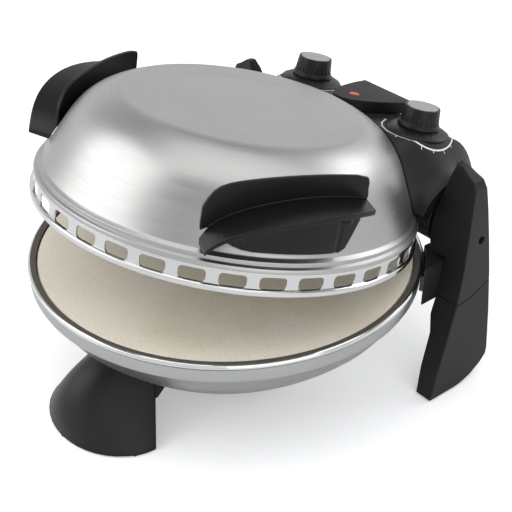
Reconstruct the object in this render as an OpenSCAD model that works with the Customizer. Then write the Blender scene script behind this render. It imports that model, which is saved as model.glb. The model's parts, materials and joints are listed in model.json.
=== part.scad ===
// Electric pizza maker: a spun steel bowl with a baking stone, a hinged dome lid with
// a row of window slots, two side handles, a control housing with two dials, a front
// foot and two rear legs. Millimetres. X runs across the front, +Y to the back, +Z up.
// The modules are drawn about the bowl's axis with the lid closed and level.

/* [Stone and bowl] */
// Radius of the baking stone
stone_r = 155; // [150:0.5:158]
// Thickness of the baking stone
stone_t = 13; // [10:0.5:14]
// Height of the stone's top above the table
stone_top = 115.4; // [112:0.2:118]
// Width from the stone's edge to the bowl's outer edge
edge_w = 6.5; // [6:0.1:9]
// Height of the bowl's top edge
bowl_top = 112.5; // [111:0.1:113]
// Height of the straight collar at the bowl's top
bowl_collar = 9; // [6:0.5:12]
// How far the bowl's shoulder lies inside its outer edge
shoulder_in = 14.5; // [13:0.5:16]
// How far the bowl's shoulder lies below its top edge
shoulder_drop = 30.5; // [28:0.5:34]
// Depth of the bowl's curve below its shoulder, to where it would close
bowl_depth = 85; // [82:0.5:90]
// Height of the bowl's flat bottom
bowl_floor = 18; // [14:0.5:24]
// Sheet thickness of the bowl
bowl_wall = 1.2; // [0.8:0.1:2]
// How far the rolled rim stands out past the bowl
rim_over = 1; // [0.5:0.1:2.5]
// Height of the rolled rim above the bowl's top edge
rim_h = 4.8; // [4:0.1:5.5]
// Gap between the stone and the rim ring
stone_gap = 0.5; // [0.3:0.1:1]
// Width of the ledge under the stone
ledge_w = 6; // [5:0.5:8]
// Sheet thickness of the rim ring and of its ledge
rim_wall = 1.5; // [1:0.1:1.8]

/* [Lid] */
// How far the lid's lip lies inside the bowl's outer edge
lip_in = 4.8; // [3.5:0.1:6]
// Height of the lip's lower edge with the lid closed and level
lip_z = 125.3; // [124.5:0.1:127]
// How far the slotted band lies inside the lip
lip_step = 2.2; // [1.8:0.1:3]
// Height of the slotted band, from the lip's lower edge to the bead
band_h = 17; // [16:0.5:18]
// Height of the stepped bead above the band
bead_h = 10; // [8:0.5:10]
// Width of the stepped bead
bead_w = 6.3; // [5:0.1:7]
// Height of the dome's top above the lip's lower edge
dome_h = 87.9; // [84:0.1:90]
// Radius of the flat plateau on the dome
plateau_r = 100; // [96:0.5:103]
// How far the dome's wall leans inward over its height
dome_lean = 28; // [24:0.5:32]
// Sheet thickness of the lid
lid_wall = 1.5; // [1:0.1:2]
// Number of window slots round the band
slot_n = 34; // [24:1:36]
// Width of one slot
slot_w = 19.5; // [12:0.5:21]
// Height of one slot
slot_h = 9.4; // [6:0.2:10]
// Height of the slots' middle above the lip's lower edge
slot_z = 9.6; // [9:0.1:10]
// Angle at which the lid stands open at rest
lid_rest = 12; // [10:0.5:14]

/* [Hinge] */
// How far the hinge axis lies inside the bowl's outer edge
hinge_in = 21.5; // [20.5:0.5:22.5]
// Height of the hinge axis
hinge_z = 141; // [140:0.5:142]
// Radius of the hinge pins
pin_r = 4; // [3:0.1:5]
// Radial clearance of the pins in their bushes
pin_gap = 0.05; // [0.02:0.01:0.1]
// Outer radius of the bushes
bush_r = 6.5; // [6:0.1:8]
// Length of the bushes
bush_l = 12; // [8:0.5:14]
// Radius of the housing's ears round the hinge
ear_r = 19; // [16:0.5:20]
// How far the conical hinge face of a leg starts inside the leg's outer face
cone_in = 50.5; // [49:0.1:51]
// How far the conical face runs outward for each unit of radius
cone_slope = 0.33; // [0.3:0.01:0.36]
// Gap between the conical faces of the housing and the legs
cone_gap = 1; // [0.5:0.1:1.5]

/* [Control housing] */
// Height of the housing's top with the lid closed
housing_top = 202; // [200:0.5:204]
// Radius of the rounded back edge of the housing
housing_round = 32; // [28:0.5:34]
// Distance of that rounding's centre behind the hinge axis
housing_run = 10; // [6:0.5:12]
// Radius of the housing's body about the hinge axis
housing_r = 70; // [68:0.5:72]
// Radius of the housing's necks, where they meet the legs
neck_r = 40; // [34:0.5:44]
// Height of the housing's underside
housing_low = 152; // [150:0.5:156]
// Wall thickness of the housing
housing_wall = 2.5; // [2:0.1:3.5]
// Gap between the housing and the dome
dome_gap = 0.4; // [0.3:0.1:0.8]
// Thickness of the housing's bottom cover
cover_t = 2.5; // [2:0.1:3]
// Half width of the raised centre panel at its back
panel_w = 30.5; // [26:0.5:34]
// Length of the raised panel, from its back to its rounded front
panel_l = 64; // [56:0.5:66]
// Height of the raised panel above the housing's top
panel_h = 10; // [6:0.5:11]
// Radius of the indicator lens
lamp_r = 4.3; // [3:0.1:5]

/* [Dials] */
// Distance of each dial from the middle
dial_x = 65.5; // [62:0.5:68]
// Distance of the dials in front of the hinge axis
dial_in = 4; // [0:0.5:8]
// Outer radius of a collar
collar_r = 27; // [25:0.5:30]
// Height of a collar
collar_h = 4.5; // [3:0.5:6]
// Radius of a knob at its foot
knob_r = 17.5; // [15:0.1:18]
// Radius of a knob at its top
knob_top_r = 14.6; // [13:0.1:15]
// Height of a knob
knob_h = 16.4; // [15:0.1:20]
// Number of grip flutes round a knob
flute_n = 24; // [12:1:30]
// Radius of a knob's shaft
shaft_r = 3; // [2.5:0.1:4]

/* [Handles] */
// Middle of each handle, as an angle in front of the side
handle_mid = 25.5; // [24:0.5:27]
// Distance along the handle from its middle to its front tip
handle_front = 55; // [52:0.5:56]
// Distance along the handle from its middle to its rear end
handle_rear = 61; // [56:0.5:62]
// How far the wing's outer face lies inside the slotted band
wing_in = 18.5; // [17:0.5:19]
// Thickness of the wing
wing_t = 3; // [2:0.1:4]
// Height of the wing's top above the lip's lower edge
wing_h = 85.4; // [82:0.2:88]
// How far the grip's edge stands out past the slotted band
grip_out = 17.1; // [14:0.1:20]
// Height of the grip's top above the lip's lower edge, at its flat rear
grip_h = 69.4; // [67:0.2:71]
// Thickness of the grip
grip_t = 4; // [3:0.1:5]
// How far the handle base's outer face lies inside the slotted band
base_in = 4; // [3:0.5:6]
// Height of the handle base's underside above the lip's lower edge
base_h = 30.5; // [29:0.5:34]

/* [Foot and legs] */
// How far the front foot reaches out in front of the bowl's edge
foot_out = 7; // [5:0.5:10]
// Depth of the front foot on the table, from front to back
foot_d = 50.5; // [48:0.5:54]
// Half width of the front foot on the table
foot_w = 60.6; // [58:0.1:64]
// Half width of the front foot at its top
foot_top_w = 20; // [16:0.5:26]
// How far the foot's back leans toward the bowl for each unit of height
foot_lean = 0.5; // [0.4:0.05:0.6]
// Height of the front foot
foot_h = 60; // [56:0.5:62]
// Wall thickness of the front foot
foot_wall = 3; // [2:0.1:4]
// Half width of the neck between foot and bowl
neck_w = 35; // [28:0.5:38]
// How far the legs' outer faces lie inside the bowl's outer edge, on the table
leg_in = 4.5; // [2:0.5:6]
// How far the legs lean inward at their tops
leg_lean = 7; // [5:0.5:8]
// Radius of the arc that parts each leg in two
part_r = 70; // [68:0.5:72]
// Gap at the parting line
part_gap = 0.3; // [0.2:0.1:0.6]
// Thickness of the rubber pads
pad_t = 1.5; // [1:0.1:2]

/* [Hidden] */
$fn = 96;
// A length long enough to cut right through
far = 400;
// Numbers of steps along the bowl's and the dome's curves
bowl_steps = 12;
dome_steps = 12;
// Exponents of the bowl's curve below its shoulder
bowl_n = 1.05;
bowl_m = 0.61;
// Outer radii of the bowl, of its rolled rim, of the lid's lip and of the slotted band
bowl_r = stone_r + edge_w;
rim_r = bowl_r + rim_over;
lip_r = bowl_r - lip_in;
band_r = lip_r - lip_step;
// Height of the stone's underside, on its ledge
stone_low = stone_top - stone_t;
// Inner radius of the rim ring, and of its ledge
ring_r = stone_r + stone_gap;
ledge_r = ring_r + rim_wall - ledge_w;
// Heights of the rolled rim, the bead's foot and the dome's foot
rim_top = bowl_top + rim_h;
bead_z = lip_z + band_h;
dome_z = bead_z + bead_h;
dome_top = lip_z + dome_h;
// Radius of the dome at its foot
dome_r = band_r - bead_w;
// Places of the hinge axis, the legs and the dials
hinge_y = bowl_r - hinge_in;
leg_x = bowl_r - leg_in;
cone_x = leg_x - cone_in;
dial_y = hinge_y - dial_in;
// Rounded back of the housing
housing_back = hinge_y + housing_run;
back_z = housing_top - housing_round;
// Middle of the whole object along Y, at rest
back_y = hinge_y + (housing_back - hinge_y) * cos(lid_rest)
    + (back_z - hinge_z) * sin(lid_rest) + housing_round;
foot_reach = bowl_r + foot_out;
foot_cut = foot_reach - foot_d;
mid_y = (back_y - foot_reach) / 2;

// Radius and height of the bowl's outside at step s below its shoulder
function bowl_at(s, out = 0) = [
    (bowl_r - shoulder_in) * pow(1 - pow(s, bowl_n), bowl_m) + out,
    shoulder_z - bowl_depth * s - out / 2];
shoulder_z = bowl_top - shoulder_drop;
bowl_last = (shoulder_z - bowl_floor) / bowl_depth;
// Outside of the bowl: collar, step, shoulder and curve, grown by out
function bowl_curve(out) = concat([[bowl_r + out, bowl_top],
    [bowl_r + out, bowl_top - bowl_collar - out / 2],
    [bowl_r - 1.5 + out, bowl_top - bowl_collar - 3 - out / 2],
    [bowl_r - 4.5 + out, bowl_top - bowl_collar - 6 - out / 2]],
    [for (i = [0 : bowl_steps]) bowl_at(bowl_last * i / bowl_steps, out)]);

// Radius and height of the dome's outside, from its foot to the plateau's edge
function dome_at(t, out = 0) = [
    dome_r - dome_lean * t - (dome_r - dome_lean - plateau_r) * pow(t, 6) + out,
    dome_z + (dome_top - 1.5 - dome_z) * t + out * t];
function dome_curve(out) = [for (i = [0 : dome_steps])
    dome_at(pow(i / dome_steps, 0.6), out)];
// Whole outside of the lid grown by out, lip and bead included
function lid_outline(out) = concat([[0, lip_z - out], [lip_r + out, lip_z - out],
    [lip_r + out, lip_z + 5], [band_r + out, lip_z + 6.5], [band_r + out, dome_z - 3],
    [dome_r + out + 1, dome_z]], dome_curve(out),
    [[plateau_r - 6, dome_top + out], [0, dome_top + out]]);

module placed() {
    translate([0, -mid_y, 0]) children();
}
// Turns the closed lid to its resting angle about the hinge
module opened() {
    translate([0, hinge_y, hinge_z])
        rotate([-lid_rest, 0, 0])
            translate([0, -hinge_y, -hinge_z]) children();
}
module pair() {
    children();
    mirror([1, 0, 0]) children();
}
// Turns a shape drawn about Z so that its axis is the hinge's
module about_hinge() {
    translate([0, hinge_y, hinge_z]) rotate([0, 90, 0]) children();
}
// A cylinder along X from x0 to x1 on the hinge axis
module hinge_rod(r, x0, x1) {
    translate([x0, hinge_y, hinge_z]) rotate([0, 90, 0]) cylinder(r = r, h = x1 - x0);
}
// Everything outside the conical hinge face, moved outward by out
module cone_out(out) {
    reach = 72;
    wide = cone_x + out + cone_slope * reach;
    about_hinge() rotate_extrude()
        polygon([[0, cone_x + out], [reach, wide], [far / 2, wide], [far / 2, far / 2],
            [0, far / 2]]);
}
// Solid inside of the bowl's outline, grown by out
module bowl_solid(out) {
    rotate_extrude() polygon(concat([[0, bowl_top]], bowl_curve(out),
        [[0, bowl_floor - out / 2]]));
}
// Solid inside of the lid's outline, grown by out
module lid_solid(out) {
    rotate_extrude() polygon(lid_outline(out));
}

// ---- Bowl ----
module bowl_shell() {
    flange_in = ring_r + rim_wall + 0.3;
    color("silver") difference() {
        rotate_extrude() polygon(concat([[flange_in, bowl_top]], bowl_curve(0),
            [[0, bowl_floor], [0, bowl_floor + bowl_wall]],
            [for (i = [len(bowl_curve(0)) - 1 : -1 : 1]) bowl_curve(-bowl_wall)[i]],
            [[bowl_r - bowl_wall, bowl_top - bowl_wall],
                [flange_in, bowl_top - bowl_wall]]));
        foot_holes(screw_hole_r);
    }
}
screw_hole_r = 2.2;
module foot_holes(r) {
    for (a = [-1, 1])
        translate([a * neck_screw_x, -neck_screw_y, 0])
            cylinder(r = r, h = shoulder_z, $fn = 32);
}
neck_screw_x = 20;
neck_screw_y = foot_cut - 25;

module bowl_rim() {
    bead = 2.2;
    color("dimgray") rotate_extrude() {
        polygon([[ledge_r, stone_low - rim_wall], [ring_r + rim_wall, stone_low - rim_wall],
            [ring_r + rim_wall, bowl_top], [rim_r - bead, bowl_top],
            [rim_r - bead / 3, bowl_top + 0.6], [rim_r, bowl_top + bead],
            [rim_r - bead / 3, rim_top - 0.6], [rim_r - bead, rim_top],
            [rim_r - 2 * bead, rim_top - 0.5], [ring_r, rim_top - 1],
            [ring_r, stone_low], [ledge_r, stone_low]]);
    }
}
module stone() {
    edge = 1.2;
    color("antiquewhite") rotate_extrude()
        polygon([[0, stone_low], [stone_r - edge, stone_low], [stone_r, stone_low + edge],
            [stone_r, stone_top - edge], [stone_r - edge, stone_top], [0, stone_top]]);
}

// ---- Lower heater ----
element_r = ledge_r - 56;
tube_r = 3.5;
pin_end_r = 3;
dish_z = 62;
dish_t = 0.8;
element_z = 86;
clip_h = element_z - dish_z;
end_x = 11.6;
end_y = sqrt(element_r * element_r - end_x * end_x);
block_w = 40;
block_d = 13;
block_h = 14;
module lower_reflector() {
    hang = stone_low - rim_wall;
    color("lightgray") difference() {
        rotate_extrude() polygon([[0, dish_z], [ledge_r - 47, dish_z],
            [ledge_r - 25, dish_z + 12], [ledge_r - 4, hang - dish_t],
            [ledge_r + 4, hang - dish_t], [ledge_r + 4, hang], [ledge_r - 4.6, hang],
            [ledge_r - 25.6, dish_z + 12 + dish_t], [ledge_r - 47.2, dish_z + dish_t],
            [0, dish_z + dish_t]]);
        element_ends(pin_end_r + 1, dish_z - 2, dish_z + 4);
    }
}
module element_ends(r, z0, z1) {
    for (a = [-1, 1]) translate([a * end_x, end_y, z0]) cylinder(r = r, h = z1 - z0, $fn = 32);
}
// Tubular ring, open at the back, at height z
module element_ring(z) {
    gap_a = asin((end_x - tube_r - 1) / element_r);
    translate([0, 0, z]) rotate([0, 0, 90 + gap_a])
        rotate_extrude(angle = 360 - 2 * gap_a)
            translate([element_r, 0]) circle(r = tube_r, $fn = 24);
}
module lower_element() {
    color("darkslategray") {
        element_ring(element_z);
        element_ends(pin_end_r, dish_z - 8, element_z);
    }
}
module lower_clips() {
    color("lightgray") for (a = [-90, 30, 150]) rotate([0, 0, a])
        difference() {
            translate([element_r - 5, -3, dish_z + dish_t])
                cube([10, 6, clip_h - dish_t + 1]);
            translate([element_r, 5, element_z]) rotate([90, 0, 0])
                cylinder(r = tube_r + 0.1, h = 10, $fn = 32);
        }
}
module lower_terminals() {
    color("white") difference() {
        translate([-block_w / 2, end_y - block_d / 2, dish_z - block_h])
            cube([block_w, block_d, block_h]);
        element_ends(pin_end_r + 0.1, dish_z - 8, dish_z + 1);
    }
}

// ---- Front foot ----
// How far the foot stands out in front of its cut at share t of its height
function foot_swell(t) = pow(1 - pow(t, 2.4), 0.7);
// Half bell: each slice is half an ellipse in front of the leaning back
module foot_bell(in) {
    slices = 9;
    hull() for (i = [0 : slices]) {
        t = 0.97 * pow(i / slices, 0.8);
        z = (foot_h - in) * t;
        back = foot_cut - foot_lean * z;
        w = foot_w - (foot_w - foot_top_w) * t - in;
        d = foot_cut + (foot_d - in) * foot_swell(t) - back;
        translate([0, -back, z - (i == 0 && in > 0 ? 1 : 0)])
            linear_extrude(0.02) intersection() {
                scale([w, d]) circle(r = 1, $fn = 40);
                translate([-far, -far]) square([2 * far, far]);
            }
    }
}
module front_foot() {
    back_gap = 0.4;
    color("#2b2b2d") difference() {
        translate([0, 0, pad_t]) intersection() {
            foot_bell(0);
            translate([-far, -far, 0]) cube([2 * far, 2 * far, foot_h]);
        }
        translate([0, 1, -1]) foot_bell(foot_wall);
        bowl_solid(back_gap);
    }
}
neck_low = 26;
screw_seat = neck_low + 8;
// Everything behind the foot's leaning back face, moved back by gap
module behind_foot(gap) {
    translate([0, -foot_cut, pad_t]) rotate([atan(foot_lean) * -1, 0, 0])
        translate([-far, gap, -far]) cube([2 * far, far, 2 * far]);
}
module foot_neck() {
    reach = 31;
    color("#1c1c1e") difference() {
        intersection() {
            translate([-neck_w, -foot_cut, neck_low]) rotate([90, 0, 90])
                linear_extrude(2 * neck_w)
                    polygon([[0, 0], [reach - 10, 0], [reach, 10], [reach, 40], [0, 40]]);
            behind_foot(0.3);
        }
        bowl_solid(0.3);
        foot_holes(screw_hole_r);
        for (a = [-1, 1]) translate([a * neck_screw_x, -neck_screw_y, neck_low - 1])
            cylinder(r = 3.9, h = screw_seat - neck_low + 1, $fn = 32);
    }
}
module foot_screws() {
    color("gray") for (a = [-1, 1])
        translate([a * neck_screw_x, -neck_screw_y, screw_seat - 2]) {
            cylinder(r = 3.6, h = 2, $fn = 32);
            cylinder(r = screw_hole_r - 0.1, h = 12, $fn = 32);
        }
}
module foot_pads() {
    pad_r = 1.4;
    w = foot_w - foot_wall / 2;
    d = foot_d - foot_wall / 2;
    color("black") for (a = [20, 90, 160])
        translate([w * cos(a), -foot_cut - d * sin(a), 0])
            cylinder(r = pad_r, h = pad_t, $fn = 32);
}

// ---- Band and arms ----
band_in = bowl_r + 0.3;
band_out = band_in + 3;
band_low = bowl_top - 14.5;
band_top = bowl_top - 0.5;
arm_low = band_low - 14;
under_cone = hinge_z - 23;
arm_top = under_cone - 0.3;
arm_x = leg_x - 26;
module rear_band() {
    start = 37;
    color("#1c1c1e") rotate([0, 0, start]) rotate_extrude(angle = 180 - 2 * start)
        translate([band_in, band_low]) square([band_out - band_in, band_top - band_low]);
}
module arm_right() {
    color("#1c1c1e") difference() {
        translate([0, 0, arm_low]) linear_extrude(arm_top - arm_low)
            translate([arm_x, hinge_y])
                polygon([[-27, -18], [0, -40], [0, 6], [-13, 6], [-27, -6]]);
        cylinder(r = band_out, h = far);
        arm_screw_rods(screw_hole_r);
        arm_screw_heads(3.9, arm_head_x - 30);
    }
}
// The two screws that run through an arm into the leg
module arm_screw_rods(r) {
    for (z = arm_bolt_z) translate([arm_head_x, arm_bolt_y, z]) rotate([0, 90, 0])
        cylinder(r = r, h = arm_x + 6 - arm_head_x, $fn = 32);
}
module arm_screw_heads(r, x0) {
    for (z = arm_bolt_z) translate([x0, arm_bolt_y, z]) rotate([0, 90, 0])
        cylinder(r = r, h = arm_head_x - x0, $fn = 32);
}
arm_bolt_z = [arm_low + 8, arm_low + 24];
arm_bolt_y = hinge_y - 7;
arm_head_x = arm_x - 11;
module arm_left() {
    mirror([1, 0, 0]) arm_right();
}
module arm_screws() {
    color("silver") pair() {
        arm_screw_rods(screw_hole_r - 0.1);
        arm_screw_heads(3.6, arm_head_x - 2);
    }
}

// ---- Legs ----
// Side view of a leg: first number behind the hinge axis, second above the table
module leg_side() {
    translate([hinge_y, 0]) polygon([[-46, pad_t], [-39.7, 27], [-31.5, 54.3],
        [-22.2, 88.9], [-17.5, hinge_z - 20.6], [-12.5, hinge_z + 55],
        [-11.5, hinge_z + 63], [-8.5, hinge_z + 65], [-5, hinge_z + 63],
        [-1, hinge_z + 55], [5, hinge_z + 27], [10, hinge_z - 2], [15, hinge_z - 35],
        [19.6, 66], [22.8, 26], [22, 20], [16, 13.5], [5, 6.5], [-5, 3], [-14, pad_t]]);
}
module leg_front() {
    top_x = leg_x - leg_lean;
    inner = leg_x - 57;
    polygon([[leg_x - 16, 0], [leg_x, 0], [top_x + 0.6, hinge_z + 47],
        [top_x - 2.5, hinge_z + 54], [top_x - 9, hinge_z + 57.5],
        [top_x - 16, hinge_z + 62.5], [inner + 20, hinge_z + 65],
        [inner, hinge_z + 39], [inner, under_cone], [arm_x, hinge_z - 20],
        [arm_x, 70], [arm_x + 5, 55], [leg_x - 19, 24]]);
}
// The whole right leg before it is parted
module leg_block() {
    intersection() {
        translate([leg_x - 57, 0, 0]) rotate([90, 0, 90]) linear_extrude(60) leg_side();
        translate([0, far, 0]) rotate([90, 0, 0]) linear_extrude(far) leg_front();
        cone_out(0);
    }
}
module part_round(r) {
    translate([leg_x - 67, hinge_y - 23.5, hinge_z + 16.7]) rotate([0, 90, 0])
        cylinder(r = r, h = 80);
}
module leg_upper_right() {
    color("#2b2b2d") difference() {
        intersection() {
            leg_block();
            part_round(part_r);
        }
        hinge_rod(pin_r + pin_gap, cone_x - 16, leg_x - 14);
        hinge_rod(3.2, leg_x - 12, far / 2);
        arm_screw_rods(screw_hole_r);
    }
}
module leg_lower_right() {
    color("#2b2b2d") difference() {
        leg_block();
        part_round(part_r + part_gap);
        arm_screw_rods(screw_hole_r);
    }
}
module leg_upper_left() {
    mirror([1, 0, 0]) leg_upper_right();
}
module leg_lower_left() {
    mirror([1, 0, 0]) leg_lower_right();
}
module leg_screws() {
    color("gray") pair() {
        hinge_rod(3, leg_x - 12, leg_x - 9);
    }
}
module leg_pads() {
    color("black") pair() {
        for (y = [-40, -22]) translate([leg_x - 8, hinge_y + y, 0])
            cylinder(r = 4, h = pad_t, $fn = 32);
    }
}
module hinge_pins() {
    color("silver") pair() {
        hinge_rod(pin_r, cone_x - bush_l - 3, leg_x - 14.3);
    }
}

// ---- Lid ----
module lid_band() {
    lip = 2.2;
    color("gainsboro") difference() {
        rotate_extrude() polygon([[lip_r - lip, lip_z], [lip_r - 0.6, lip_z],
            [lip_r, lip_z + 0.8], [lip_r, lip_z + 3.8], [lip_r - 0.8, lip_z + 4.6],
            [band_r, lip_z + 5.2], [band_r, bead_z], [band_r - lid_wall, bead_z],
            [band_r - lid_wall, lip_z + 5], [lip_r - lip, lip_z + 3.5]]);
        for (i = [0 : slot_n - 1]) rotate([0, 0, -90 + i * 360 / slot_n])
            translate([band_r - 8, 0, lip_z + slot_z]) rotate([0, 90, 0]) slot();
    }
}
// One window slot with rounded corners, cut outward
module slot() {
    corner = 3;
    linear_extrude(12) {
        square([slot_h - 2 * corner, slot_w], center = true);
        square([slot_h, slot_w - 2 * corner], center = true);
        for (a = [-1, 1], b = [-1, 1])
            translate([a * (slot_h / 2 - corner), b * (slot_w / 2 - corner)])
                circle(r = corner, $fn = 24);
    }
}
module lid_dome() {
    step = (band_r - dome_r - 1) / 2;
    skin = [for (i = [dome_steps : -1 : 0]) let (p = dome_curve(0)[i])
        [p[0] - lid_wall, p[1] - (i > dome_steps - 3 ? lid_wall : 0.3)]];
    color("silver") difference() {
        rotate_extrude() polygon(concat(
            [[band_r - lid_wall, bead_z], [band_r + 0.2, bead_z],
            [band_r + 0.6, bead_z + 1.5], [band_r, bead_z + 3.5],
            [band_r - step, bead_z + 4.5], [band_r - step, bead_z + 7.5],
            [dome_r + 0.8, dome_z - 1]], dome_curve(0),
            [[plateau_r - 6, dome_top], [0, dome_top], [0, dome_top - lid_wall],
            [plateau_r - 6.4, dome_top - lid_wall]], skin,
            [[dome_r - lid_wall, dome_z], [band_r - step - lid_wall, bead_z + 4],
            [band_r - 2 * lid_wall, bead_z + 1]]));
    }
}
// Inner reflector, hung inside the dome
liner_top = dome_top - 24;
module lid_liner() {
    t = 0.8;
    edge = band_r - lid_wall;
    color("lightgray") difference() {
        rotate_extrude() polygon([[0, liner_top], [edge - 51, liner_top],
            [edge - 29, liner_top - 14], [edge - 9, bead_z + 4], [edge - 0.3, bead_z - 1],
            [edge - 0.3, bead_z - 1 - t], [edge - 10, bead_z + 3.4],
            [edge - 29.6, liner_top - 14 - t], [edge - 51.2, liner_top - t],
            [0, liner_top - t]]);
        upper_ends(pin_end_r + 1, liner_top - 3, liner_top + 2);
    }
}
upper_z = liner_top - 22;
module upper_ends(r, z0, z1) {
    for (a = [-1, 1]) translate([a * end_x, end_y, z0]) cylinder(r = r, h = z1 - z0, $fn = 32);
}
module upper_element() {
    color("darkslategray") {
        element_ring(upper_z);
        upper_ends(pin_end_r, upper_z, liner_top + 8);
    }
}
module upper_clips() {
    color("lightgray") for (a = [-90, 30, 150]) rotate([0, 0, a])
        difference() {
            translate([element_r - 5, -3, upper_z - 1])
                cube([10, 6, liner_top - 0.8 - upper_z + 1]);
            translate([element_r, 5, upper_z]) rotate([90, 0, 0])
                cylinder(r = tube_r + 0.1, h = 10, $fn = 32);
        }
}
module upper_terminals() {
    color("white") difference() {
        translate([-block_w / 2, end_y - 7, liner_top]) cube([block_w, 12, block_h]);
        upper_ends(pin_end_r + 0.1, liner_top - 1, liner_top + 8);
    }
}

// ---- Handles ----
// Places on a handle are given along it, rear end positive, outward from the bowl's
// axis, and above the lip. The grip is flat at the back and falls toward its tip.
grip_s0 = 45;
function grip_u(s) = (grip_s0 - s) / (grip_s0 + handle_front);
function grip_at(s) = grip_h - 27 * pow(grip_u(s), 2)
    - (s < 0 ? 9.5 * pow(grip_u(s), 12) : 0);
function wing_u(s) = (50 - s) / (50 + handle_front);
function wing_at(s) = wing_h - 16 * pow(wing_u(s), 2)
    - (s < 0 ? 15 * pow(wing_u(s), 20) : 0);
handle_steps = [for (i = [0 : 16]) let (u = i / 16)
    -handle_front + (handle_front + handle_rear) * (u * u * (1.6 - 0.6 * u))];
grip_line = [for (s = handle_steps) [s, grip_at(s)]];
// Radii of the wing's and the grip's outlines in plan
wing_plan = 500;
grip_plan = 107.2;
wing_c = band_r - wing_in;
grip_c = band_r + grip_out;
base_c = band_r - base_in;
// Two screws up into the grip: places along the handle and outward
handle_bolts = [[-31, base_c], [43, base_c - 3]];
boss_r = 5;
boss_l = 9;
function lower(pts, d) = [for (p = pts) [p[0], p[1] - d]];
function back_to_front(pts) = [for (i = [len(pts) - 1 : -1 : 0]) pts[i]];
// Turns a shape drawn with the handle's length along X and its outside toward -Y
module at_handle() {
    rotate([0, 0, 90 - handle_mid]) children();
}
module side_prism(pts, r0, r1) {
    translate([0, -r0, lip_z]) rotate([90, 0, 0]) linear_extrude(r1 - r0) polygon(pts);
}
// Shell that follows the wing's plan, from radius c outward by t
module plan_disc(c, r) {
    translate([0, r - c, 0]) cylinder(r = r, h = far, $fn = 180);
}
module handle_right() {
    color("#232325") at_handle() difference() {
        union() {
            difference() {
                intersection() {
                    plan_disc(wing_c, wing_plan);
                    side_prism(concat(lower(grip_line, grip_t),
                        back_to_front(concat([for (s = handle_steps) if (s < 58)
                            [s, wing_at(s)]], [[59.5, wing_at(58) - 1.4],
                            [61, wing_at(58) - 5], [61.6, grip_h]]))), 90, wing_c + 1);
                }
                translate([0, 0, -1]) plan_disc(wing_c - wing_t, wing_plan);
            }
            difference() {
                intersection() {
                    plan_disc(grip_c, grip_plan);
                    side_prism(concat(lower(grip_line, grip_t), back_to_front(grip_line)),
                        90, grip_c + 1);
                }
                translate([0, 0, -1]) plan_disc(wing_c - wing_t, wing_plan);
            }
        }
        lid_solid(0.4);
        for (b = handle_bolts)
            translate([b[0], -b[1], 0]) cylinder(r = screw_hole_r, h = bolt_top(b), $fn = 32);
    }
}
// Height of a screw's end, inside the grip
function bolt_top(b) = lip_z + grip_at(b[0]) - 1.5;
module handle_left() {
    mirror([1, 0, 0]) handle_right();
}
module handle_base_right() {
    under = lower(grip_line, grip_t + 0.1);
    front = -40;
    rear = 57;
    color("#1e1e20") at_handle() difference() {
        intersection() {
            union() {
                intersection() {
                    cylinder(r = base_c, h = far);
                    side_prism([[front, base_h + 5], [-30, base_h + 1], [-20, base_h],
                        [44, base_h], [49, base_h + 3], [53, base_h + 13], [rear, base_h + 24],
                        [rear, grip_h + 5], [front, grip_h + 5]], 90, base_c + 1);
                }
                for (b = handle_bolts)
                    translate([b[0], -b[1], lip_z + grip_at(b[0]) - grip_t - boss_l])
                        cylinder(r = boss_r, h = boss_l + 10, $fn = 48);
            }
            side_prism(concat([[-handle_front, 0], [handle_rear, 0]], back_to_front(under)),
                90, grip_c);
        }
        lid_solid(0.3);
        for (b = handle_bolts)
            translate([b[0], -b[1], lip_z]) {
                cylinder(r = screw_hole_r, h = far, $fn = 32);
                translate([0, 0, -1]) cylinder(r = 3.9, h = boss_seat(b) - lip_z + 1, $fn = 32);
            }
    }
}
// Height at which a screw's head bears inside its boss
function boss_seat(b) = lip_z + grip_at(b[0]) - grip_t - boss_l + 5;
module handle_base_left() {
    mirror([1, 0, 0]) handle_base_right();
}
module handle_screws() {
    color("silver") pair() at_handle() for (b = handle_bolts) {
        translate([b[0], -b[1], boss_seat(b) - 2]) cylinder(r = 3.6, h = 2, $fn = 32);
        translate([b[0], -b[1], boss_seat(b) - 0.1])
            cylinder(r = screw_hole_r - 0.1, h = bolt_top(b) - boss_seat(b) - 0.2, $fn = 32);
    }
}

// ---- Control housing ----
function arc(cy, cz, r, a0, a1, n) = [for (i = [0 : n])
    let (a = a0 + (a1 - a0) * i / n) [cy + r * cos(a), cz + r * sin(a)]];
// Side view of the housing, drawn with Y and Z, inset by in
module housing_side(in) {
    under = housing_low - (in > 0 ? 1 : 0);
    front = hinge_y - 44;
    polygon(concat([[front, under], [front, housing_top - in]],
        arc(housing_back, back_z, housing_round - in, 90, -12, 10),
        [[housing_back + 27 - in, housing_low + 8], [housing_back + 19 - in, under]]));
}
// Rounded shoulders of the housing: radius about the hinge axis against X
shoulder_x = cone_x - 31;
neck_x = cone_x + 9;
cap_x = cone_x + 14;
module housing_barrel(in) {
    steps = 12;
    ends = concat([for (i = [0 : steps]) [shoulder_x + (neck_x - shoulder_x) * i / steps,
        housing_r - (housing_r - neck_r) * (1 - cos(180 * i / steps)) / 2]],
        [[cap_x, neck_r]]);
    about_hinge() rotate_extrude() polygon(concat([[0, -cap_x + in]],
        [for (p = back_to_front(ends)) [p[1] - in, -p[0] + (p[0] == cap_x ? in : 0)]],
        [for (p = ends) [p[1] - in, p[0] - (p[0] == cap_x ? in : 0)]],
        [[0, cap_x - in]]));
}
module housing_form(in) {
    intersection() {
        translate([-cap_x - 1, 0, 0]) rotate([90, 0, 90]) linear_extrude(2 * cap_x + 2)
            housing_side(in);
        housing_barrel(in);
    }
}
module ear(x0, x1) {
    hinge_rod(ear_r, x0, x1);
    // Web that carries the ear from the housing's end wall
    translate([x0, hinge_y - ear_r, hinge_z]) cube([x1 - x0, 2 * ear_r, 16]);
}
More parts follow.
